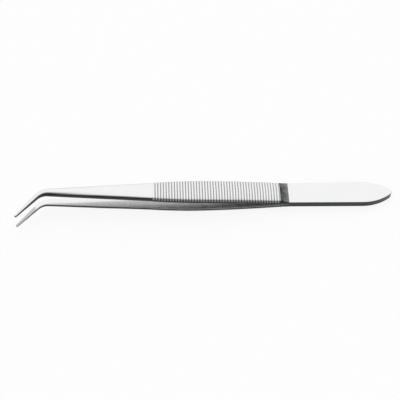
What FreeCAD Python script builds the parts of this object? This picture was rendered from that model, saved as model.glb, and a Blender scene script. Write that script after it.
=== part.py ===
import FreeCAD, Part
import math
import os
import Sketcher

V = FreeCAD.Vector
doc = FreeCAD.newDocument("curved_tweezers")

# Driving dimensions, in millimetres and degrees. Lengths along an arm are
# measured on its inner face, from the tail end towards the tips.
SIZES = [
    # Tail blade
    ("tail_length", 41.3, "tail end to the foot of the shoulder"),
    ("tail_end_width", 10.2, "tail width where it starts to narrow to its end"),
    ("tail_root_width", 9.7, "tail width at the foot of the shoulder"),
    ("taper_length", 12.0, "length of the rounded point at the tail end"),
    ("taper_radius", 18.6, "radius of the two sides of that point"),
    ("tail_thickness", 1.38, "one blade of the tail"),
    ("tail_edge_radius", 0.3, "rounding of the outer edges of the tail"),
    # Shoulder and ribbed grip
    ("shoulder_length", 3.0, "concave ramp from the tail up to the grip"),
    ("grip_length", 51.0, "top of the shoulder to the front of the grip"),
    ("grip_width", 10.2, "widest place of the grip"),
    ("widest_length", 33.5, "foot of the shoulder to the widest place"),
    ("grip_front_width", 8.35, "front of the grip"),
    ("grip_thickness", 2.3, "inner face to the top of the crown"),
    ("grip_wall", 0.75, "flat side wall under the rounded edge"),
    ("grip_edge_radius", 1.2, "rounding between side wall and crown"),
    ("rib_pitch", 1.09, "groove to groove across the grip"),
    ("rib_inset", 1.0, "top of the shoulder to the first groove"),
    ("rib_land", 0.9, "last groove to the front of the grip, at least"),
    ("rib_groove_width", 0.46, "mouth of one V groove"),
    ("rib_groove_depth", 0.28, "crown to the bottom of a groove"),
    ("grip_step", 0.06, "how far the grip stands out from the shoulder and the shank"),
    # Spring: each arm leaves the other in a long bow
    ("bow_length", 43.7, "weld front to where the arm runs straight"),
    ("root_angle", 4.95, "slope of the inner face at the weld front"),
    ("front_angle", 0.6, "slope of the inner face in front of the bow"),
    # Shank
    ("shank_length", 40.7, "front of the grip to the start of the bend"),
    ("shank_rear_width", 6.85, "one quarter along the shank"),
    ("shank_mid_width", 5.6, "half way along the shank"),
    ("shank_front_width", 4.25, "three quarters along the shank"),
    ("shank_thickness", 2.3, "half way along the shank"),
    ("shank_wall", 0.8, "side wall half way along the shank"),
    ("shank_edge_radius", 1.2, "rounded edge half way along the shank"),
    # Bend and jaw
    ("bend_width", 2.9, "arm width where the bend starts"),
    ("bend_thickness", 2.1, "arm thickness where the bend starts"),
    ("bend_wall", 0.8, "side wall where the bend starts"),
    ("bend_edge_radius", 0.9, "rounded edge where the bend starts"),
    ("bend_angle", 50.0, "how far the jaw turns to the side"),
    ("bend_radius", 6.0, "radius of the bend on its centre line"),
    ("jaw_length", 11.9, "end of the bend to the tip"),
    ("jaw_width", 1.85, "jaw width at the end of the bend"),
    ("jaw_thickness", 1.6, "jaw thickness at the end of the bend"),
    ("jaw_wall", 0.82, "side wall at the end of the bend"),
    ("jaw_edge_radius", 0.55, "rounded edge at the end of the bend"),
    ("tip_width", 0.9, "jaw width at the tip"),
    ("tip_thickness", 0.9, "jaw thickness at the tip"),
    ("tip_wall", 0.52, "side wall at the tip"),
    ("tip_edge_radius", 0.25, "rounded edge at the tip"),
    ("serration_pitch", 0.78, "groove to groove inside the jaw"),
    ("serration_inset", 0.6, "tip to its nearest groove"),
    ("plain_length", 1.9, "end of the bend to the last groove, at least"),
    ("serration_width", 0.34, "mouth of one jaw groove"),
    ("serration_depth", 0.16, "depth of one jaw groove"),
]

sheet = doc.addObject("Spreadsheet::Sheet", "sizes")
for row, (alias, value, meaning) in enumerate(SIZES, start=1):
    sheet.set(f"A{row}", alias)
    sheet.set(f"B{row}", str(value))
    sheet.set(f"C{row}", meaning)
    sheet.setAlias(f"B{row}", alias)
doc.recompute()


def size(alias):
    return float(getattr(sheet, alias))


def make_body(name):
    body = doc.addObject("PartDesign::Body", name)
    body.Label = name
    return body


def make_sketch(body, name, role):
    sketch = body.newObject("Sketcher::SketchObject", name)
    plane = next(f for f in body.Origin.OriginFeatures if f.Role == role)
    sketch.AttachmentSupport = [(plane, "")]
    sketch.MapMode = "FlatFace"
    return sketch


def line(first, last):
    return Part.LineSegment(V(first[0], first[1], 0), V(last[0], last[1], 0))


def arc(centre, radius, start, end):
    circle = Part.Circle(V(centre[0], centre[1], 0), V(0, 0, 1), radius)
    return Part.ArcOfCircle(circle, start, end)


def bind(sketch, expression, kind, *places):
    """Adds a dimension to a sketch and ties it to sizes of the sheet."""
    value = sketch.evalExpression(expression)
    index = sketch.addConstraint(Sketcher.Constraint(kind, *places, value))
    sketch.setExpression(f"Constraints[{index}]", expression)


# Cross-section of an arm: a flat inner face, two short side walls, rounded
# outer edges, and a crown that runs smoothly into both of them.


def crown_radius(half_width, thickness, wall, edge):
    rise = thickness - wall
    return ((half_width - edge) ** 2 + rise ** 2 - edge ** 2) / (2 * (rise - edge))


def crown_start(half_width, thickness, wall, edge):
    """Angle on the edge arc at which the crown takes over."""
    if thickness - wall - edge < 1e-6:
        return math.pi / 2
    radius = crown_radius(half_width, thickness, wall, edge)
    return math.atan2(wall - thickness + radius, half_width - edge)


EDGE_FLATS = 3
CROWN_FLATS = 3


def faceted_wire(place, half_width, thickness, wall, edge):
    """The section as short flats, the middle one of the crown at full thickness.
    place(across, up) gives a point on the arm."""
    turn = crown_start(half_width, thickness, wall, edge)
    side = [(half_width, 0.0)]
    for step in range(EDGE_FLATS + 1):
        angle = turn * step / EDGE_FLATS
        side.append((half_width - edge + edge * math.cos(angle), wall + edge * math.sin(angle)))
    side.append((side[-1][0] / CROWN_FLATS, thickness))
    far_side = [(-across, up) for across, up in reversed(side)]
    points = [place(across, up) for across, up in side + far_side]
    return Part.makePolygon(points + points[:1])


def section_wire(place, half_width, thickness, wall, edge):
    """The section as a wire of arcs and lines."""
    turn = crown_start(half_width, thickness, wall, edge)
    corners = [(half_width, 0.0), (half_width, wall)]
    for angle in (turn / 2, turn):
        corners.append((half_width - edge + edge * math.cos(angle), wall + edge * math.sin(angle)))
    foot, head, middle, end = [place(across, up) for across, up in corners]
    far_foot, far_head, far_middle, far_end = [place(-across, up) for across, up in corners]
    if turn < math.pi / 2:
        crown = Part.Arc(end, place(0.0, thickness), far_end).toShape()
    else:
        crown = Part.makeLine(end, far_end)
    return Part.Wire([
        Part.makeLine(far_foot, foot),
        Part.makeLine(foot, head),
        Part.Arc(head, middle, end).toShape(),
        crown,
        Part.Arc(far_end, far_middle, far_head).toShape(),
        Part.makeLine(far_head, far_foot),
    ])


def section_sketch(body, name, width, thickness, wall, edge):
    """The section as a sketch. Its four sizes are expressions of the sheet."""
    sketch = make_sketch(body, name, "YZ_Plane")
    half = sketch.evalExpression(width) / 2
    top, side, round_ = [sketch.evalExpression(text) for text in (thickness, wall, edge)]
    turn = crown_start(half, top, side, round_)
    radius = crown_radius(half, top, side, round_)
    sketch.addGeometry([
        line((-half, 0), (half, 0)),
        line((half, 0), (half, side)),
        arc((half - round_, side), round_, 0, turn),
        arc((0, top - radius), radius, turn, math.pi - turn),
        arc((round_ - half, side), round_, math.pi - turn, math.pi),
        line((-half, side), (-half, 0)),
    ])
    face, near_wall, near_edge, crown, far_edge, far_wall = range(6)
    sketch.addConstraint([
        Sketcher.Constraint("Coincident", face, 2, near_wall, 1),
        Sketcher.Constraint("Tangent", near_wall, 2, near_edge, 1),
        Sketcher.Constraint("Tangent", near_edge, 2, crown, 1),
        Sketcher.Constraint("Tangent", crown, 2, far_edge, 1),
        Sketcher.Constraint("Tangent", far_edge, 2, far_wall, 1),
        Sketcher.Constraint("Coincident", far_wall, 2, face, 1),
        Sketcher.Constraint("Symmetric", face, 1, face, 2, -2),
        Sketcher.Constraint("PointOnObject", face, 1, -1),
        Sketcher.Constraint("Vertical", near_wall),
        Sketcher.Constraint("Vertical", far_wall),
        Sketcher.Constraint("Equal", near_edge, far_edge),
        Sketcher.Constraint("Equal", near_wall, far_wall),
    ])
    rise = f"(({thickness}) - ({wall}))"
    inset = f"(({width}) / 2 - ({edge}))"
    crown_size = f"({inset}^2 + {rise}^2 - ({edge})^2) / (2 * ({rise} - ({edge})))"
    bind(sketch, width, "DistanceX", face, 1, face, 2)
    bind(sketch, wall, "DistanceY", near_wall, 1, near_wall, 2)
    bind(sketch, edge, "Radius", near_edge)
    bind(sketch, crown_size, "Radius", crown)
    return sketch


# Tail blade: a flat strip that ends in a rounded point. It runs towards -X
# from its end at the origin, and its inner face lies on Z = 0.
tail = make_body("tail_blade")
outline = make_sketch(tail, "tail_outline", "XY_Plane")
end_half = size("tail_end_width") / 2
root_half = size("tail_root_width") / 2
taper = size("taper_length")
side_radius = size("taper_radius")
# Each side of the point is an arc that starts along X. A small round joins
# the two arcs and reaches the origin.
side_centre = end_half - side_radius
nose_radius = (side_radius ** 2 - taper ** 2 - side_centre ** 2) / (2 * (side_radius - taper))
nose_turn = math.atan2(-side_centre, taper - nose_radius)
root = -size("tail_length")
outline.addGeometry([
    line((root, root_half), (-taper, end_half)),
    arc((-taper, side_centre), side_radius, nose_turn, math.pi / 2),
    arc((-nose_radius, 0), nose_radius, -nose_turn, nose_turn),
    arc((-taper, -side_centre), side_radius, -math.pi / 2, -nose_turn),
    line((-taper, -end_half), (root, -root_half)),
    line((root, -root_half), (root, root_half)),
])
far_side, far_arc, nose, near_arc, near_side, root_line = range(6)
outline.addConstraint([
    Sketcher.Constraint("Coincident", far_side, 2, far_arc, 2),
    Sketcher.Constraint("Tangent", far_arc, 1, nose, 2),
    Sketcher.Constraint("Tangent", nose, 1, near_arc, 2),
    Sketcher.Constraint("Coincident", near_arc, 1, near_side, 1),
    Sketcher.Constraint("Coincident", near_side, 2, root_line, 1),
    Sketcher.Constraint("Coincident", root_line, 2, far_side, 1),
    Sketcher.Constraint("Symmetric", far_side, 1, near_side, 2, -1),
    Sketcher.Constraint("Symmetric", far_side, 2, near_side, 1, -1),
    Sketcher.Constraint("Vertical", far_arc, 3, far_arc, 2),
    Sketcher.Constraint("Vertical", near_arc, 3, near_arc, 1),
    Sketcher.Constraint("Equal", far_arc, near_arc),
    Sketcher.Constraint("PointOnObject", -1, 1, nose),
])
bind(outline, "sizes.tail_length", "DistanceX", root_line, 1, -1, 1)
bind(outline, "sizes.taper_length", "DistanceX", far_side, 2, -1, 1)
bind(outline, "sizes.tail_end_width", "DistanceY", near_side, 1, far_side, 2)
bind(outline, "sizes.tail_root_width", "DistanceY", root_line, 1, root_line, 2)
bind(outline, "sizes.taper_radius", "Radius", far_arc)

tail_pad = tail.newObject("PartDesign::Pad", "tail_pad")
tail_pad.Profile = outline
tail_pad.setExpression("Length", "sizes.tail_thickness")
doc.recompute()

# The outer edges are rounded all the way along both sides and the point.
outer_edges = []
for number, edge in enumerate(tail_pad.Shape.Edges, start=1):
    box = edge.BoundBox
    on_top = box.ZMin > size("tail_thickness") / 2
    across = box.XLength < 1e-6 and box.YLength > size("tail_root_width") / 2
    if on_top and not across:
        outer_edges.append(f"Edge{number}")
tail_round = tail.newObject("PartDesign::Fillet", "tail_round")
tail_round.Base = (tail_pad, outer_edges)
tail_round.setExpression("Radius", "sizes.tail_edge_radius")


# Centre line of the arm beyond the weld: a bow, then a straight run. place_on
# gives the point of the inner face at a distance from the tail end, and the
# direction that its thickness takes there.
weld_front = size("tail_length")
root_slope = math.radians(size("root_angle"))
front_slope = math.radians(size("front_angle"))
bow_radius = size("bow_length") / (root_slope - front_slope)


def inner_face(distance):
    """Point on the middle of the inner face, and the slope of the face there."""
    along = min(distance - weld_front, size("bow_length"))
    slope = root_slope - along / bow_radius
    straight = distance - weld_front - along
    reach = bow_radius * (math.sin(root_slope) - math.sin(slope)) + straight * math.cos(slope)
    rise = bow_radius * (math.cos(slope) - math.cos(root_slope)) + straight * math.sin(slope)
    return V(-weld_front - reach, 0, rise), slope


def placer(distance):
    foot, slope = inner_face(distance)
    if distance == weld_front:
        slope = 0.0
    return lambda across, up: foot + V(up * math.sin(slope), across, up * math.cos(slope))


# Shoulder and grip: the arm swells from the flat tail, over a concave ramp,
# to a crowned bar with V grooves across it. The grooves follow the crown and
# the rounded edges, and fade out on the side walls.
widest = weld_front + size("widest_length")
grip_start = weld_front + size("shoulder_length")
grip_end = grip_start + size("grip_length")


def grip_half_width(distance):
    """Both ends narrow from the widest place, each on its own flat curve."""
    if distance < widest:
        end_width, span = size("tail_root_width"), widest - weld_front
    else:
        end_width, span = size("grip_front_width"), grip_end - widest
    share = (distance - widest) / span
    return (size("grip_width") - (size("grip_width") - end_width) * share ** 2) / 2


def grip_wire(distance, depth=0.0):
    """Section of the grip, or of the bottom of a groove cut to this depth."""
    return faceted_wire(placer(distance), grip_half_width(distance), size("grip_thickness") - depth,
                        size("grip_wall") - depth, size("grip_edge_radius"))


def shoulder_wire(share):
    """Section of the ramp, whose top runs up an arc from the flat tail."""
    step = size("grip_step")
    rise = size("grip_thickness") - step - size("tail_thickness")
    sweep = 2 * math.atan2(rise, size("shoulder_length"))
    ramp_radius = size("shoulder_length") / math.sin(sweep)
    distance = weld_front + ramp_radius * math.sin(sweep * share)
    climbed = ramp_radius * (1 - math.cos(sweep * share))
    grown = climbed / rise
    tail_wall = size("tail_thickness") - size("tail_edge_radius")
    wall = tail_wall + grown * (size("grip_wall") - step - tail_wall)
    edge = size("tail_edge_radius") + grown * (size("grip_edge_radius") - size("tail_edge_radius"))
    return section_wire(placer(distance), grip_half_width(distance) - grown * step,
                        size("tail_thickness") + climbed, wall, edge)


RAMP_STEPS = 5
ramp = [shoulder_wire(step / RAMP_STEPS) for step in range(RAMP_STEPS + 1)]
shoulder = doc.addObject("Part::Feature", "shoulder")
shoulder.Shape = Part.makeLoft(ramp, True, True)

ribbed_length = size("grip_length") - size("rib_inset") - size("rib_land")
rib_count = int(ribbed_length / size("rib_pitch")) + 1
wires = [grip_wire(grip_start)]
for rib in range(rib_count):
    middle = grip_start + size("rib_inset") + rib * size("rib_pitch")
    wires.append(grip_wire(middle - size("rib_groove_width") / 2))
    wires.append(grip_wire(middle, size("rib_groove_depth")))
    wires.append(grip_wire(middle + size("rib_groove_width") / 2))
wires.append(grip_wire(grip_end))
grip = doc.addObject("Part::Feature", "ribbed_grip")
grip.Shape = Part.makeLoft(wires, True, True)


# Shank and jaw, in their own frame: the front of the grip at the origin, the
# inner face on Z = 0 and the tips towards -X. The body is then set at the end
# of the grip, on the slope of the arm there.
front = make_body("shank_and_jaw")


def mixed(first, last, share):
    return f"({first} * {1 - share} + {last} * {share})"


def sizes_of(place):
    """Width, thickness, side wall and rounded edge of the arm at a named place."""
    return [f"sizes.{place}_{part}" for part in ("width", "thickness", "wall", "edge_radius")]


def shank_section(name, share, width, before, after, between):
    """Section across the straight shank at a share of its length."""
    parts = [mixed(first, last, between) for first, last in zip(before, after)]
    sketch = section_sketch(front, name, width, *parts)
    sketch.setExpression("AttachmentOffset.Base.z", f"-sizes.shank_length * {share}")
    return sketch


# The rear end of the shank lies one step inside the front of the grip.
rear_width = "(sizes.grip_front_width - sizes.grip_step * 2)"
rear = ["(sizes.grip_thickness - sizes.grip_step)", "(sizes.grip_wall - sizes.grip_step)",
        "sizes.grip_edge_radius"]
middle = ["sizes.shank_thickness", "sizes.shank_wall", "sizes.shank_edge_radius"]
bend_width, *fore = sizes_of("bend")
shank_sections = [
    shank_section("shank_at_grip", 0, rear_width, rear, middle, 0),
    shank_section("shank_rear", 0.25, "sizes.shank_rear_width", rear, middle, 0.5),
    shank_section("shank_middle", 0.5, "sizes.shank_mid_width", rear, middle, 1),
    shank_section("shank_front", 0.75, "sizes.shank_front_width", middle, fore, 0.5),
    shank_section("shank_at_bend", 1, bend_width, middle, fore, 1),
]
doc.recompute()
shank = front.newObject("PartDesign::AdditiveLoft", "shank")
shank.Profile = shank_sections[0]
shank.Sections = shank_sections[1:]
doc.recompute()

# Sections round the bend stand square to the centre line and are joined
# smoothly. The jaw then narrows evenly to its tip.
BEND_STEPS = 4


def turned_section(name, turned, jaw_share):
    """Section at a share of the bend, and past it at a share of the jaw."""
    if jaw_share:
        ends, share = zip(sizes_of("jaw"), sizes_of("tip")), jaw_share
    else:
        ends, share = zip(sizes_of("bend"), sizes_of("jaw")), turned
    sketch = section_sketch(front, name, *[mixed(before, after, share) for before, after in ends])
    angle = f"(sizes.bend_angle * {turned})"
    run = f"(sizes.jaw_length * {jaw_share})"
    turn_sketch(sketch, angle)
    sketch.setExpression("AttachmentOffset.Base.x",
                         f"-(sizes.bend_radius * (1 - cos({angle})) + {run} * sin({angle}))")
    sketch.setExpression(
        "AttachmentOffset.Base.z",
        f"-(sizes.shank_length + sizes.bend_radius * sin({angle}) + {run} * cos({angle}))")
    return sketch


def turn_sketch(sketch, angle):
    """Turns a sketch about the height of the arm."""
    start = FreeCAD.Rotation(V(0, 1, 0), sketch.evalExpression(angle))
    sketch.AttachmentOffset = FreeCAD.Placement(V(0, 0, 0), start)
    sketch.setExpression("AttachmentOffset.Rotation.Angle", angle)


bend_sections = [turned_section(f"bend_{step}", step / BEND_STEPS, 0)
                 for step in range(1, BEND_STEPS + 1)]
tip_section = turned_section("jaw_tip", 1, 1)
doc.recompute()
bend = front.newObject("PartDesign::AdditiveLoft", "bend")
bend.Profile = shank_sections[-1]
bend.Sections = bend_sections
doc.recompute()
jaw = front.newObject("PartDesign::AdditiveLoft", "jaw")
jaw.Profile = bend_sections[-1]
jaw.Sections = [tip_section]
jaw.Ruled = True
doc.recompute()

# Jaw serrations: one V groove across the inner face near the tip, repeated
# back along the jaw.
groove = make_sketch(front, "serration", "XZ_Plane")
turn_sketch(groove, "sizes.bend_angle")
groove.setExpression(
    "AttachmentOffset.Base.x",
    "-(sizes.shank_length + sizes.bend_radius * sin(sizes.bend_angle)"
    " + sizes.jaw_length * cos(sizes.bend_angle))")
groove.setExpression(
    "AttachmentOffset.Base.z",
    "sizes.bend_radius * (1 - cos(sizes.bend_angle)) + sizes.jaw_length * sin(sizes.bend_angle)")
first = size("serration_inset")
mouth = size("serration_width")
deep = size("serration_depth")
groove.addGeometry([
    line((first - mouth, -deep), (first + mouth, -deep)),
    line((first + mouth, -deep), (first, deep)),
    line((first, deep), (first - mouth, -deep)),
])
groove.addConstraint([
    Sketcher.Constraint("Coincident", 0, 2, 1, 1),
    Sketcher.Constraint("Coincident", 1, 2, 2, 1),
    Sketcher.Constraint("Coincident", 2, 2, 0, 1),
    Sketcher.Constraint("Horizontal", 0),
    Sketcher.Constraint("Equal", 1, 2),
])
bind(groove, "sizes.serration_inset", "DistanceX", -1, 1, 1, 2)
bind(groove, "sizes.serration_depth", "DistanceY", -1, 1, 1, 2)
bind(groove, "sizes.serration_depth", "DistanceY", 0, 1, -1, 1)
bind(groove, "sizes.serration_width * 2", "DistanceX", 0, 1, 0, 2)

cut = front.newObject("PartDesign::Pocket", "serration_cut")
cut.Profile = groove
cut.Midplane = True
cut.setExpression("Length", "sizes.jaw_width * 2")
doc.recompute()
pattern = front.newObject("PartDesign::LinearPattern", "serrations")
pattern.Originals = [cut]
pattern.Direction = (groove, ["H_Axis"])
gaps = ("floor((sizes.jaw_length - sizes.serration_inset - sizes.plain_length)"
        " / sizes.serration_pitch)")
pattern.setExpression("Length", f"sizes.serration_pitch * {gaps}")
pattern.setExpression("Occurrences", f"{gaps} + 1")
front.Tip = pattern
doc.recompute()

front_foot, slope_there = inner_face(grip_end)
front.Placement = FreeCAD.Placement(front_foot, FreeCAD.Rotation(V(0, 1, 0), math.degrees(slope_there)))

# At rest the tweezers lie on the lower arm, which touches at the tail end and
# at the fullest place of its bow. That tilts the plane between the arms.
tail_foot = V(-size("tail_edge_radius"), 0, size("tail_thickness"))
rises = [corner.Point - tail_foot for corner in grip.Shape.Vertexes]
tilt = max(math.atan2(rise.z, -rise.x) for rise in rises)
tilt_turn = FreeCAD.Rotation(V(0, 1, 0), math.degrees(tilt))

# The origin is at the bottom centre of the pair. The corners of both arms give
# its reach, apart from the tail end, which is round and lies at X = 0.
corners = [vertex.Point for piece in (tail, grip, front) for vertex in piece.Shape.Vertexes]
turned = [tilt_turn.multVec(V(c.x, c.y, side * c.z)) for c in corners for side in (1, -1)]
tip_reach = min(corner.x for corner in turned)
across = [corner.y for corner in turned]
floor = tilt_turn.multVec(V(tail_foot.x, 0, -tail_foot.z)).z
shift = V(-tip_reach / 2, -(min(across) + max(across)) / 2, -floor)

# One arm is a single blade: tail, shoulder, grip and shank in one solid.
upper_arm = doc.addObject("Part::MultiFuse", "upper_arm")
upper_arm.Shapes = [tail, shoulder, grip, front]
upper_arm.Label = "upper_arm"
upper_arm.Placement = FreeCAD.Placement(shift, tilt_turn)

# The other arm is its mirror image across the plane in which the tails meet.
lower_arm = doc.addObject("Part::Mirroring", "lower_arm")
lower_arm.Source = upper_arm
lower_arm.Base = shift
lower_arm.Normal = tilt_turn.multVec(V(0, 0, 1))
lower_arm.Label = "lower_arm"
doc.recompute()

for obj in doc.Objects:
    if {"Invalid", "Error"} & set(obj.State):
        raise RuntimeError(f"{obj.Name} failed: {obj.State}")

os.makedirs("parts", exist_ok=True)
for arm in (upper_arm, lower_arm):
    shape = arm.Shape
    if shape.isNull() or not shape.isValid() or len(shape.Solids) != 1:
        raise RuntimeError(f"{arm.Label} is not one valid solid")
    print(arm.Label, "solids", len(shape.Solids), "volume", round(shape.Volume, 2), shape.BoundBox)
    shape.exportStep(f"parts/{arm.Label}.step")
print("tilt", round(math.degrees(tilt), 3))
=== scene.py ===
import math

import bmesh
import bpy
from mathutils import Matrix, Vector


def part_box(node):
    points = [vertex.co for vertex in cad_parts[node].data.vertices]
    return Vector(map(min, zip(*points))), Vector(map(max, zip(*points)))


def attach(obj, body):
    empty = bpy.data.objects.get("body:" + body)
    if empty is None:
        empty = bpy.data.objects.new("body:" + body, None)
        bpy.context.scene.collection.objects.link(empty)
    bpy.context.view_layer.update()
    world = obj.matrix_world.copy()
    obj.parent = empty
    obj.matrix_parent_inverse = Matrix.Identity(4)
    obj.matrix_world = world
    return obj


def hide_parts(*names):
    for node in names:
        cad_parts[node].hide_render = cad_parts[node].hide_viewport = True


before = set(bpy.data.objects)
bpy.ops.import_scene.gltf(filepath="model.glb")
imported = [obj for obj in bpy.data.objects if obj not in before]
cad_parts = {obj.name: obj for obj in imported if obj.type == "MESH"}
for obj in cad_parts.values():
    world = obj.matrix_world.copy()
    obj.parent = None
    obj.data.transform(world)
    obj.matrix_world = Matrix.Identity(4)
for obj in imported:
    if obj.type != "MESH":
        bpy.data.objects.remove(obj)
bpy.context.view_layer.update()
bpy.ops.object.select_all(action="DESELECT")


# Upper arm. It is one blade of stainless steel, pressed from strip and ground: a flat tail, a ribbed grip
# with a crowned face, a tapering shank, and a slim jaw. Lengths are taken from the tail's end, with the
# blade still flat and straight, and its inner face on the ground plane.
MM = 0.001
BROKEN_EDGE = 0.1 * MM
CORNER_STEPS = 3
EDGE_STEPS = 8
CROWN_STEPS = 12
RING_POINTS = 2 * (CORNER_STEPS + 1) + 2 * (EDGE_STEPS + 1) + CROWN_STEPS - 1


def blade_outline(half, thickness, wall, edge, pressed=0.0, bitten=0.0):
    """Section of the blade from one inner corner over the crown to the other, as (across, up) places."""
    corner = min(BROKEN_EDGE, half / 3)
    edge = min(edge, 0.95 * half)
    rise = thickness - wall
    side = []
    for step in range(CORNER_STEPS + 1):
        turn = math.pi / 2 * step / CORNER_STEPS
        side.append((half - corner + corner * math.sin(turn), bitten + corner - corner * math.cos(turn)))
    flat = rise - edge < 1e-7
    radius = 1.0 if flat else ((half - edge) ** 2 + rise ** 2 - edge ** 2) / (2 * (rise - edge))
    reach = math.pi / 2 if flat else math.atan2(radius - rise, half - edge)
    for step in range(EDGE_STEPS + 1):
        turn = reach * step / EDGE_STEPS
        side.append((half - edge + edge * math.cos(turn), wall - pressed + edge * math.sin(turn)))
    crown = []
    for step in range(1, CROWN_STEPS):
        across = side[-1][0] * (1 - 2 * step / CROWN_STEPS)
        up = thickness if flat else thickness - radius + math.sqrt(radius ** 2 - across ** 2)
        crown.append((across, up - pressed))
    return side + crown + [(-across, up) for across, up in reversed(side)]


# Tail: its end is a small round between two longer side arcs, and its outer edge is rounded all the way.
TAIL_LENGTH = 41.3 * MM
TAIL_WIDTH = 10.2 * MM
TAIL_ROOT_WIDTH = 9.7 * MM
TAIL_THICKNESS = 1.38 * MM
TAIL_EDGE = 0.3 * MM
TAIL_WALL = TAIL_THICKNESS - TAIL_EDGE
POINT_LENGTH = 12.0 * MM
POINT_SIDE_RADIUS = 18.6 * MM

side_centre = TAIL_WIDTH / 2 - POINT_SIDE_RADIUS
nose_radius = (POINT_SIDE_RADIUS ** 2 - POINT_LENGTH ** 2 - side_centre ** 2) / (
    2 * (POINT_SIDE_RADIUS - POINT_LENGTH))
nose_turn = math.atan2(-side_centre, POINT_LENGTH - nose_radius)


def point_section(distance, half):
    """Section of the pointed end, whose outer edge is rounded by its distance from the outline."""
    outline = []
    full = max(half, 2 * TAIL_EDGE)
    for across, up in blade_outline(full, TAIL_THICKNESS, TAIL_WALL, TAIL_EDGE):
        across *= half / full
        if distance < nose_radius * (1 - math.cos(nose_turn)):
            inset = nose_radius - math.hypot(distance - nose_radius, across)
        else:
            inset = POINT_SIDE_RADIUS - math.hypot(POINT_LENGTH - distance, abs(across) - side_centre)
        if up > TAIL_WALL - 0.01 * TAIL_EDGE:
            short = TAIL_EDGE - min(max(inset, 0.0), TAIL_EDGE)
            up = TAIL_WALL + math.sqrt(TAIL_EDGE ** 2 - short ** 2)
        outline.append((across, up))
    return distance, outline


NOSE_STEPS = 10
POINT_STEPS = 22
point_sections = []
for step in range(1, NOSE_STEPS + 1):
    turn = nose_turn * step / NOSE_STEPS
    point_sections.append(point_section(nose_radius * (1 - math.cos(turn)), nose_radius * math.sin(turn)))
for step in range(1, POINT_STEPS + 1):
    turn = nose_turn + (math.pi / 2 - nose_turn) * step / POINT_STEPS
    point_sections.append(point_section(
        POINT_LENGTH - POINT_SIDE_RADIUS * math.cos(turn),
        side_centre + POINT_SIDE_RADIUS * math.sin(turn)))

TAIL_STEPS = 12
tail_sections = []
for step in range(1, TAIL_STEPS + 1):
    share = step / TAIL_STEPS
    width = TAIL_WIDTH + (TAIL_ROOT_WIDTH - TAIL_WIDTH) * share
    tail_sections.append((POINT_LENGTH + (TAIL_LENGTH - POINT_LENGTH) * share,
                          blade_outline(width / 2, TAIL_THICKNESS, TAIL_WALL, TAIL_EDGE)))

# Grip: the width has its own curve behind and before the widest place. A concave shoulder runs up to it
# from the tail, and it stands a little proud of shoulder and shank.
SHOULDER_LENGTH = 3.0 * MM
GRIP_LENGTH = 51.0 * MM
GRIP_WIDTH = 10.2 * MM
GRIP_FRONT_WIDTH = 8.35 * MM
WIDEST_PLACE = TAIL_LENGTH + 33.5 * MM
GRIP_THICKNESS = 2.3 * MM
GRIP_WALL = 0.75 * MM
GRIP_EDGE = 1.2 * MM
GRIP_STEP = 0.06 * MM
GRIP_START = TAIL_LENGTH + SHOULDER_LENGTH
GRIP_END = GRIP_START + GRIP_LENGTH
STEP_SLOPE = 0.02 * MM


def grip_half(distance):
    if distance < WIDEST_PLACE:
        end_width, span = TAIL_ROOT_WIDTH, WIDEST_PLACE - TAIL_LENGTH
    else:
        end_width, span = GRIP_FRONT_WIDTH, GRIP_END - WIDEST_PLACE
    return (GRIP_WIDTH - (GRIP_WIDTH - end_width) * ((distance - WIDEST_PLACE) / span) ** 2) / 2


def grip_section(distance, pressed=0.0):
    return distance, blade_outline(grip_half(distance), GRIP_THICKNESS, GRIP_WALL, GRIP_EDGE, pressed)


SHOULDER_STEPS = 14
shoulder_rise = GRIP_THICKNESS - GRIP_STEP - TAIL_THICKNESS
shoulder_sweep = 2 * math.atan2(shoulder_rise, SHOULDER_LENGTH)
shoulder_radius = SHOULDER_LENGTH / math.sin(shoulder_sweep)
shoulder_sections = []
for step in range(1, SHOULDER_STEPS + 1):
    turn = shoulder_sweep * step / SHOULDER_STEPS
    climbed = shoulder_radius * (1 - math.cos(turn))
    grown = climbed / shoulder_rise
    distance = TAIL_LENGTH + shoulder_radius * math.sin(turn)
    shoulder_sections.append((distance, blade_outline(
        grip_half(distance) - grown * GRIP_STEP, TAIL_THICKNESS + climbed,
        TAIL_WALL + grown * (GRIP_WALL - GRIP_STEP - TAIL_WALL),
        TAIL_EDGE + grown * (GRIP_EDGE - TAIL_EDGE))))

RIBS = 46
RIB_PITCH = 1.09 * MM
FIRST_RIB = GRIP_START + 1.0 * MM
RIB_HALF_MOUTH = 0.23 * MM
RIB_DEPTH = 0.28 * MM
# One groove across the grip, with the worn edges of its lands: where along it, in half mouths, and how deep.
GROOVE_SHAPE = [(-1.9, 0.0), (-1.35, 0.06), (-0.92, 0.2), (-0.12, 0.97),
                (0.12, 0.97), (0.92, 0.2), (1.35, 0.06), (1.9, 0.0)]
grip_sections = [grip_section(GRIP_START + STEP_SLOPE)]
for rib in range(RIBS):
    for along, deep in GROOVE_SHAPE:
        place = FIRST_RIB + rib * RIB_PITCH + along * RIB_HALF_MOUTH
        grip_sections.append(grip_section(place, deep * RIB_DEPTH))
grip_sections.append(grip_section(GRIP_END - STEP_SLOPE))

# Shank, bend and jaw: every size of the section runs from one named place to the next.
SHANK_LENGTH = 40.7 * MM
SHANK_WIDTHS = [8.23 * MM, 6.85 * MM, 5.6 * MM, 4.25 * MM, 2.9 * MM]
BEND_START = GRIP_END + SHANK_LENGTH
BEND_ANGLE = math.radians(50)
BEND_RADIUS = 6.0 * MM
JAW_START = BEND_START + BEND_RADIUS * BEND_ANGLE
JAW_LENGTH = 11.9 * MM
TIP = JAW_START + JAW_LENGTH

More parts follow.
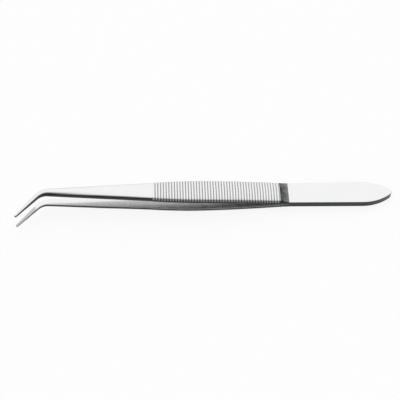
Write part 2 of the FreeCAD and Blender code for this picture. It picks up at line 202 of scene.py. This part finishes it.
# Thickness, side wall and rounded outer edge at the places between which they change.
AT_GRIP = (2.24 * MM, 0.69 * MM, 1.2 * MM)
AT_SHANK_MIDDLE = (2.3 * MM, 0.8 * MM, 1.2 * MM)
AT_BEND = (2.1 * MM, 0.8 * MM, 0.9 * MM)
AT_JAW = (1.6 * MM, 0.82 * MM, 0.55 * MM)
AT_TIP = (0.9 * MM, 0.52 * MM, 0.25 * MM)
JAW_WIDTH = 1.85 * MM
TIP_WIDTH = 0.9 * MM


def between(first, last, share):
    return [a + (b - a) * share for a, b in zip(first, last)]


SHANK_STEPS = 36
shank_sections = []
for step in range(SHANK_STEPS + 1):
    share = step / SHANK_STEPS
    quarter = min(int(share * 4), 3)
    width, = between(SHANK_WIDTHS[quarter:], SHANK_WIDTHS[quarter + 1:quarter + 2], share * 4 - quarter)
    if share < 0.5:
        parts = between(AT_GRIP, AT_SHANK_MIDDLE, share * 2)
    else:
        parts = between(AT_SHANK_MIDDLE, AT_BEND, share * 2 - 1)
    shank_sections.append((GRIP_END + SHANK_LENGTH * share, blade_outline(width / 2, *parts)))

BEND_STEPS = 20
bend_sections = []
for step in range(1, BEND_STEPS + 1):
    share = step / BEND_STEPS
    width, = between(SHANK_WIDTHS[-1:], [JAW_WIDTH], share)
    bend_sections.append((BEND_START + (JAW_START - BEND_START) * share,
                          blade_outline(width / 2, *between(AT_BEND, AT_JAW, share))))


def jaw_section(distance, bitten=0.0, worn=1.0):
    share = (distance - JAW_START) / JAW_LENGTH
    width, = between([JAW_WIDTH], [TIP_WIDTH], share)
    outline = blade_outline(width / 2, *between(AT_JAW, AT_TIP, share), bitten=bitten)
    middle = AT_TIP[0] / 2
    return distance, [(across * worn, middle + (up - middle) * worn) for across, up in outline]


TEETH = 13
TOOTH_PITCH = 0.78 * MM
LAST_TOOTH = TIP - 0.6 * MM
TOOTH_HALF_MOUTH = 0.17 * MM
TOOTH_DEPTH = 0.16 * MM
TOOTH_SHAPE = [(1.1, 0.0), (0.12, 1.0), (-0.12, 1.0), (-1.1, 0.0)]
PLAIN_JAW = 0.9 * MM
# The rounds of the tip: how far each section lies back from it, in mm, and how much of its size is left.
TIP_SHAPE = [(0.2, 1.0), (0.1, 0.95), (0.03, 0.84), (0.0, 0.7)]
jaw_sections = [jaw_section(JAW_START + PLAIN_JAW)]
for tooth in reversed(range(TEETH)):
    for along, deep in TOOTH_SHAPE:
        place = LAST_TOOTH - tooth * TOOTH_PITCH - along * TOOTH_HALF_MOUTH
        jaw_sections.append(jaw_section(place, bitten=deep * TOOTH_DEPTH))
jaw_sections += [jaw_section(TIP - back * MM, worn=worn) for back, worn in TIP_SHAPE]

# The blank starts as a small disc at the tail's end. It is drawn out into a round rod with a ring of points
# at each section, and every ring is then pressed onto its outline, point by point round the section.
sections = (point_sections + tail_sections + shoulder_sections + grip_sections
            + shank_sections + bend_sections + jaw_sections)
drawn = sections[0][0]
bpy.ops.mesh.primitive_circle_add(vertices=RING_POINTS, radius=1 * MM, fill_type="NGON",
                                  location=(-drawn, 0, 0), rotation=(0, math.pi / 2, 0))
upper = bpy.context.object
upper.name = "upper_blade"
bpy.ops.object.transform_apply(location=True, rotation=True, scale=True)
bpy.ops.object.mode_set(mode="EDIT")
bpy.ops.mesh.select_mode(type="VERT")
bpy.ops.mesh.select_all(action="SELECT")
for distance, outline in sections[1:]:
    bpy.ops.mesh.extrude_region_move(TRANSFORM_OT_translate={"value": (drawn - distance, 0, 0)})
    drawn = distance
rod = bmesh.from_edit_mesh(upper.data)
points = sorted(rod.verts, key=lambda vertex: -vertex.co.x)
for number, (distance, outline) in enumerate(sections):
    ring = points[number * RING_POINTS:(number + 1) * RING_POINTS]
    ring.sort(key=lambda vertex: math.atan2(-vertex.co.y, vertex.co.z))
    for vertex, (across, up) in zip(ring, outline):
        vertex.co = (-distance, across, up)

# The serrated face of the jaw has a finish of its own. The shoulder with the land above it gets a painted
# dark reflection, and the ribs between the grooves get less of the painted side shade. The numbers are places
# in the blade's list of materials.
CUT_LENGTH = 10.6 * MM
GROUND_START = TAIL_LENGTH + 0.2 * MM
GROUND_END = GRIP_START + 0.8 * MM
SATIN, CUT, GROUND_WITH_PAINTED_DARK, RIB = 0, 1, 2, 3
for face in rod.faces:
    middle = face.calc_center_median()
    if middle.x < CUT_LENGTH - TIP and middle.z < TOOTH_DEPTH:
        face.material_index = CUT
    elif -GROUND_END < middle.x < -GROUND_START and middle.z > TAIL_THICKNESS / 2:
        face.material_index = GROUND_WITH_PAINTED_DARK
    elif -GRIP_END < middle.x < -GROUND_END:
        from_groove = abs((FIRST_RIB + middle.x + RIB_PITCH / 2) % RIB_PITCH - RIB_PITCH / 2)
        face.material_index = RIB if from_groove > 1.3 * RIB_HALF_MOUTH else SATIN
bmesh.update_edit_mesh(upper.data)


# The straight blade is then bent: first the jaw to the side, then the bow, from its front end back to the
# weld. Each small turn takes along all of the blade beyond it.
def bend_beyond(distance, axis, angle):
    bpy.ops.mesh.select_all(action="DESELECT")
    blade = bmesh.from_edit_mesh(bpy.context.object.data)
    for vertex in blade.verts:
        vertex.select = vertex.co.x < -distance
    blade.select_flush(True)
    bpy.ops.transform.rotate(value=-angle, orient_axis=axis, center_override=(-distance, 0, 0))


for step in reversed(range(BEND_STEPS)):
    hinge = BEND_START + (step + 0.5) / BEND_STEPS * (JAW_START - BEND_START)
    bend_beyond(hinge, "Z", BEND_ANGLE / BEND_STEPS)

BOW_LENGTH = 43.7 * MM
ROOT_ANGLE = math.radians(4.95)
FRONT_ANGLE = math.radians(0.6)
BOW_STEPS = 40
JUST_PAST = 0.01 * MM
for step in reversed(range(BOW_STEPS)):
    hinge = TAIL_LENGTH + (step + 0.5) / BOW_STEPS * BOW_LENGTH
    bend_beyond(hinge, "Y", (FRONT_ANGLE - ROOT_ANGLE) / BOW_STEPS)
bend_beyond(TAIL_LENGTH + JUST_PAST, "Y", ROOT_ANGLE)

bpy.ops.mesh.select_all(action="SELECT")
bpy.ops.mesh.normals_make_consistent(inside=False)
bpy.ops.object.mode_set(mode="OBJECT")
bpy.ops.object.shade_smooth_by_angle(angle=math.radians(34))

# At rest the pair is tilted a little, and the end of the weld then stands here.
REST_TILT = math.radians(2.208)
low_corner, high_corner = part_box("upper_arm")
tail_end = Vector((high_corner.x - TAIL_WALL * math.sin(REST_TILT),
                   high_corner.y - GRIP_WIDTH / 2, low_corner.z))


# The arm is stainless steel, ground along its length and polished to a satin. That leaves very fine lines
# along the arm, which blur what the steel mirrors a little more in one place than in another.
def paint(hex_colour):
    """A colour written in sRGB hex, as the linear colour that a shader takes."""
    channels = [int(hex_colour[place:place + 2], 16) / 255 for place in (0, 2, 4)]
    return [c / 12.92 if c <= 0.04045 else ((c + 0.055) / 1.055) ** 2.4 for c in channels] + [1.0]


def add(tree, kind, links=(), **settings):
    """Adds a node. Names of settings are its own or those of its inputs, and links join inputs to outputs."""
    node = tree.nodes.new(kind)
    for name, value in settings.items():
        label = name.replace("_", " ")
        if label.title() in node.inputs:
            node.inputs[label.title()].default_value = value
        else:
            setattr(node, name, value)
    for name, output in links:
        tree.links.new(node.inputs[name], output)
    return node


satin_steel = bpy.data.materials.new("satin_stainless_steel")
satin_steel.use_nodes = True
tree = satin_steel.node_tree
tree.nodes.clear()
place = add(tree, "ShaderNodeTexCoord").outputs["Object"]
along = add(tree, "ShaderNodeMapping", [("Vector", place)], name="grain",
            Scale=(1 / (6 * MM), 1 / (0.16 * MM), 1 / (0.16 * MM)))
lines = add(tree, "ShaderNodeTexNoise", [("Vector", along.outputs["Vector"])], Scale=1.0, Detail=3.0)
cloud = add(tree, "ShaderNodeTexNoise", [("Vector", place)], name="cloud", Scale=1 / (7 * MM), Detail=2.0)
blur = add(tree, "ShaderNodeMapRange", [("Value", lines.outputs["Fac"])], name="blur")
blur.inputs["From Min"].default_value = 0.3
blur.inputs["From Max"].default_value = 0.7
blur.inputs["To Min"].default_value = 0.2
blur.inputs["To Max"].default_value = 0.3
tone = add(tree, "ShaderNodeMix", [("Factor", cloud.outputs["Fac"])], name="tone", data_type="RGBA")
tone.inputs[6].default_value = paint("D6D7D8")
tone.inputs[7].default_value = paint("DCDCDA")
# The colour holds a painted reflection: faces that turn to the side, the upright sides and the flanks of the
# grooves, are darkened by how far they turn from straight up, standing in for the dark surroundings they
# mirror.
facing = add(tree, "ShaderNodeSeparateXYZ", [("Vector", add(tree, "ShaderNodeTexCoord").outputs["Normal"])])
upright = add(tree, "ShaderNodeMath", [(0, facing.outputs["Z"])], operation="ABSOLUTE")
painted_side_shade = add(tree, "ShaderNodeMapRange", [("Value", upright.outputs["Value"])], name="painted_side_shade")
painted_side_shade.inputs["From Min"].default_value = 0.85
painted_side_shade.inputs["From Max"].default_value = 0.6
colour = add(tree, "ShaderNodeMix", [("Factor", painted_side_shade.outputs["Result"]), (6, tone.outputs[2])],
             data_type="RGBA")
# Painted dark reflection on the faces that turn to the side.
colour.inputs[7].default_value = paint("3A3B3D")
relief = add(tree, "ShaderNodeBump", [("Height", lines.outputs["Fac"])], Strength=0.15, Distance=0.004 * MM)
steel = add(tree, "ShaderNodeBsdfPrincipled", [
    ("Base Color", colour.outputs[2]), ("Roughness", blur.outputs["Result"]),
    ("Normal", relief.outputs["Normal"])], Metallic=1.0)
add(tree, "ShaderNodeOutputMaterial", [("Surface", steel.outputs["BSDF"])])

# The jaw faces are cut across and left as they come from the cutter: the same steel, but matte and greyer.
# Its painted side shade is kept to the steepest faces, so the grooves come out as bright as between them.
cut_steel = satin_steel.copy()
cut_steel.name = "matte_cut_steel"
cut_steel.node_tree.nodes["tone"].inputs[6].default_value = paint("C7C8C9")
cut_steel.node_tree.nodes["tone"].inputs[7].default_value = paint("CECFCF")
cut_steel.node_tree.nodes["painted_side_shade"].inputs["From Min"].default_value = 0.4
cut_steel.node_tree.nodes["painted_side_shade"].inputs["From Max"].default_value = 0.1
cut_steel.node_tree.nodes["blur"].inputs["To Min"].default_value = 0.45
cut_steel.node_tree.nodes["blur"].inputs["To Max"].default_value = 0.55

# The shoulder is ground out by a wheel that runs across the blade, and its lines run across. Its colour is a
# painted dark reflection, darkest at the grip end, and blotched.
ground_steel_painted_dark = satin_steel.copy()
ground_steel_painted_dark.name = "cross_ground_steel_painted_dark"
tree = ground_steel_painted_dark.node_tree
spot = add(tree, "ShaderNodeSeparateXYZ", [("Vector", add(tree, "ShaderNodeTexCoord").outputs["Object"])])
painted_dark_toward_grip = add(tree, "ShaderNodeMapRange", [("Value", spot.outputs["X"])])
painted_dark_toward_grip.inputs["From Min"].default_value = tail_end.x - GROUND_END
painted_dark_toward_grip.inputs["From Max"].default_value = tail_end.x - GROUND_START
painted_dark_toward_grip.inputs["To Min"].default_value = -0.7
painted_dark_toward_grip.inputs["To Max"].default_value = 0.15
blotched_painted_dark = add(tree, "ShaderNodeMath", operation="MULTIPLY_ADD", links=[
    (0, tree.nodes["cloud"].outputs["Fac"]), (2, painted_dark_toward_grip.outputs["Result"])])
blotched_painted_dark.inputs[1].default_value = 1.6
tree.links.new(tree.nodes["tone"].inputs["Factor"], blotched_painted_dark.outputs[0])
tree.nodes["cloud"].inputs["Scale"].default_value = 1 / (1.8 * MM)
# The painted dark reflection of the shoulder, from its darkest to its lightest.
tree.nodes["tone"].inputs[6].default_value = paint("2E2F31")
tree.nodes["tone"].inputs[7].default_value = paint("7C7D7F")
tree.nodes["grain"].inputs["Scale"].default_value = (1 / (0.16 * MM), 1 / (6 * MM), 1 / (0.16 * MM))
tree.nodes["blur"].inputs["To Min"].default_value = 0.3
tree.nodes["blur"].inputs["To Max"].default_value = 0.4

# The ends of the ribs are rounded. Their lands get only a narrow band of the painted side shade and stay
# bright down to the wall, while the grooves between keep it and come out dark.
rib_steel = satin_steel.copy()
rib_steel.name = "rib_land_steel_less_painted_shade"
rib_steel.node_tree.nodes["painted_side_shade"].inputs["From Min"].default_value = 0.5
rib_steel.node_tree.nodes["painted_side_shade"].inputs["From Max"].default_value = 0.15

for material in (satin_steel, cut_steel, ground_steel_painted_dark, rib_steel):
    upper.data.materials.append(material)


# Lower arm. It comes from the same tools as the upper arm, turned over: its mirror image across the plane
# in which the two tails are welded together.
bpy.ops.object.duplicate(linked=False)
lower = bpy.context.object
lower.name = "lower_blade"
lower.scale.z = -1
bpy.ops.object.transform_apply(location=False, rotation=False, scale=True)
bpy.ops.object.mode_set(mode="EDIT")
bpy.ops.mesh.select_all(action="SELECT")
bpy.ops.mesh.normals_make_consistent(inside=False)
bpy.ops.object.mode_set(mode="OBJECT")

# The welded pair lies on the end of the lower tail and on the fullest place of the lower bow.
for blade, node in ((upper, "upper_arm"), (lower, "lower_arm")):
    bpy.ops.object.select_all(action="DESELECT")
    blade.select_set(True)
    bpy.context.view_layer.objects.active = blade
    blade.rotation_euler.y = REST_TILT
    blade.location = tail_end
    bpy.ops.object.transform_apply(location=True, rotation=True, scale=True)
    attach(blade, "root")
    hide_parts(node)


# Studio: a plain white table under a soft sky, brightest behind the table. The table shows the camera, and
# what mirrors it, mostly its own white, and keeps a soft shadow.
bpy.ops.mesh.primitive_plane_add(size=4.0, location=(0, 0, 0))
table = bpy.context.object
table.name = "table"
white = bpy.data.materials.new("white_table")
white.use_nodes = True
tree = white.node_tree
tree.nodes.clear()
cloth = add(tree, "ShaderNodeBsdfDiffuse")
cloth.inputs["Color"].default_value = paint("F7F7F7")
paper = add(tree, "ShaderNodeEmission", Strength=1.0)
seen = add(tree, "ShaderNodeLightPath")
mirrored = add(tree, "ShaderNodeMath", operation="MAXIMUM", links=[
    (0, seen.outputs["Is Glossy Ray"]), (1, seen.outputs["Is Transmission Ray"])])
looked_at = add(tree, "ShaderNodeMath", operation="MAXIMUM", links=[
    (0, seen.outputs["Is Camera Ray"]), (1, mirrored.outputs[0])])
glow = add(tree, "ShaderNodeMath", [(0, looked_at.outputs[0])], operation="MULTIPLY")
glow.inputs[1].default_value = 0.86
surface = add(tree, "ShaderNodeMixShader", [
    (0, glow.outputs[0]), (1, cloth.outputs[0]), (2, paper.outputs[0])])
add(tree, "ShaderNodeOutputMaterial", [("Surface", surface.outputs[0])])
table.data.materials.append(white)

# The sky is even but for a bright round patch behind the table and a dim one in front. Each row says where
# it is, in degrees from +X towards +Y and up from the table, how far from there it is full and where it has
# faded out, and its strength.
SKY_STRENGTH = 0.85
SKY_PATCHES = [
    (98, 52, 30, 65, 1.3),
    (-90, 22, 25, 48, 0.25),
]
sky = bpy.data.worlds.new("studio")
bpy.context.scene.world = sky
sky.use_nodes = True
tree = sky.node_tree
tree.nodes.clear()
toward = add(tree, "ShaderNodeTexCoord").outputs["Generated"]
light = add(tree, "ShaderNodeBackground", Color=(1, 1, 1, 1), Strength=SKY_STRENGTH).outputs[0]
for azimuth, elevation, full, faded, strength in SKY_PATCHES:
    turn, up = math.radians(azimuth), math.radians(elevation)
    near = add(tree, "ShaderNodeVectorMath", [(0, toward)], operation="DOT_PRODUCT")
    near.inputs[1].default_value = (
        math.cos(up) * math.cos(turn), math.cos(up) * math.sin(turn), math.sin(up))
    ramp = add(tree, "ShaderNodeMapRange", [("Value", near.outputs["Value"])],
               interpolation_type="SMOOTHSTEP")
    ramp.inputs["From Min"].default_value = math.cos(math.radians(faded))
    ramp.inputs["From Max"].default_value = math.cos(math.radians(full))
    patch = add(tree, "ShaderNodeBackground", Color=(1, 1, 1, 1), Strength=strength)
    mix = add(tree, "ShaderNodeMixShader", [(0, ramp.outputs["Result"]), (1, light), (2, patch.outputs[0])])
    light = mix.outputs[0]
add(tree, "ShaderNodeOutputWorld", [("Surface", light)])

# The camera stands 54 degrees above the table, a little to the left of straight in front.
ELEVATION = math.radians(54)
YAW = math.radians(2.48)
DISTANCE = 0.42
toward_camera = Vector((-math.cos(ELEVATION) * math.sin(YAW), -math.cos(ELEVATION) * math.cos(YAW),
                        math.sin(ELEVATION)))
bpy.ops.object.camera_add(location=toward_camera * DISTANCE)
camera = bpy.context.object
camera.rotation_euler = toward_camera.to_track_quat("Z", "Y").to_euler()
camera.data.sensor_width = 36
camera.data.lens = 95.05
camera.data.shift_x = -0.0146
camera.data.shift_y = 0.0217
camera.data.clip_end = 10
bpy.context.scene.camera = camera
bpy.context.scene.view_settings.view_transform = "Standard"
